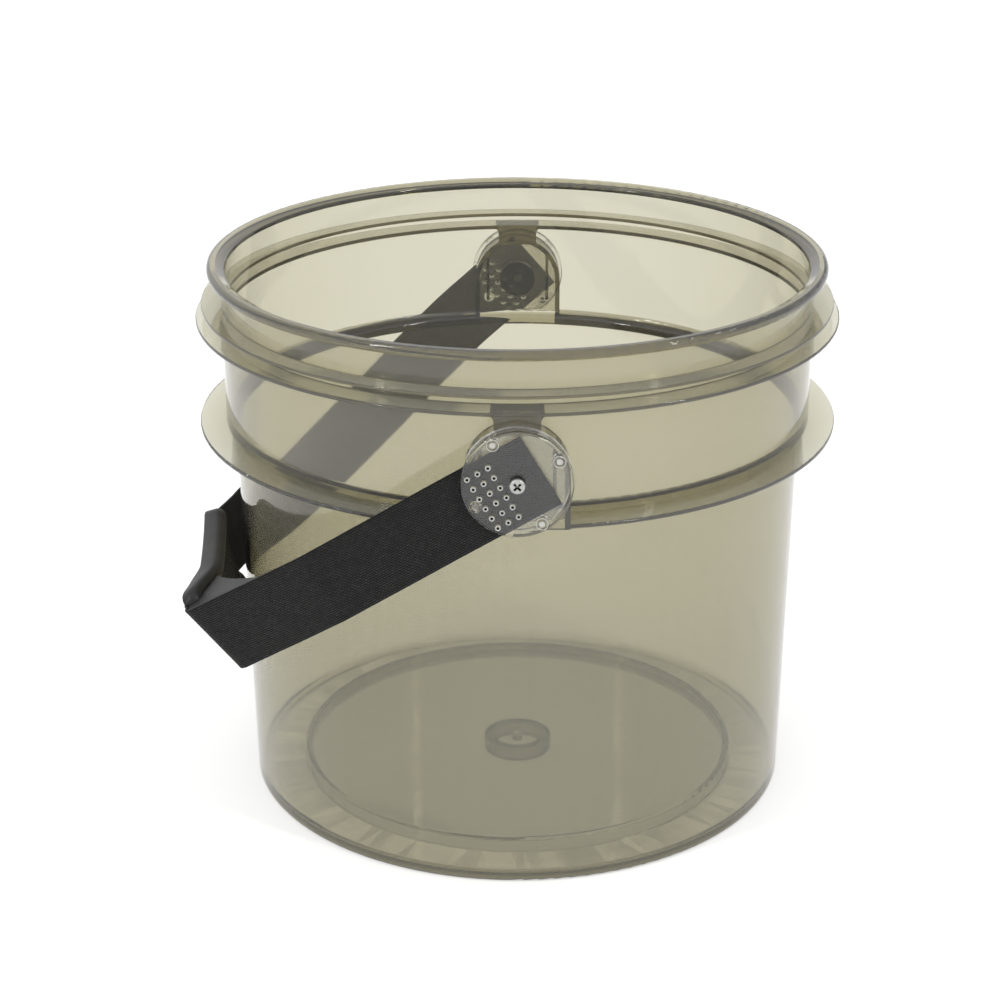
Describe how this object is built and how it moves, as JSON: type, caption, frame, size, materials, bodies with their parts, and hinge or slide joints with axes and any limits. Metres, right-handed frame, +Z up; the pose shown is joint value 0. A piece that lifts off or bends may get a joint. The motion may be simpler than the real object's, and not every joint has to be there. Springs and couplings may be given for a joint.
{
  "type": "plastic fermenting bucket",
  "caption": "Straight-sided clear plastic bucket with a flanged rim, a raised floor and a webbing carry strap that swings on screwed clips",
  "frame": {"origin": "centre of the base, on the surface the bucket stands on", "axes": "+Z up along the bucket's axis, +Y through both strap pivots (front lug at -Y), the strap rests on the -X side"},
  "size_m": [0.328, 0.3474, 0.2832],
  "materials": {
    "clear_plastic": "gloss, smoky transparent",
    "clip_plastic": "gloss, water clear",
    "screw_steel": "bright zinc",
    "webbing": "woven black polypropylene",
    "grip_plastic": "satin black"
  },
  "bodies": {
    "bucket": {"bucket_shell": "clear_plastic", "front_pivot_screw": "screw_steel", "rear_pivot_screw": "screw_steel"},
    "handle": {"front_clip_base": "clip_plastic", "front_clip_cover": "clip_plastic", "rear_clip_base": "clip_plastic", "rear_clip_cover": "clip_plastic", "webbing_strap": "webbing", "handle_grip": "grip_plastic"}
  },
  "joints": [
    {"name": "handle_swing", "type": "hinge", "parent": "bucket", "child": "handle", "pos_m": [0, 0, 0.2245], "axis": [0, 1, 0], "range_deg": [0, 232]}
  ]
}
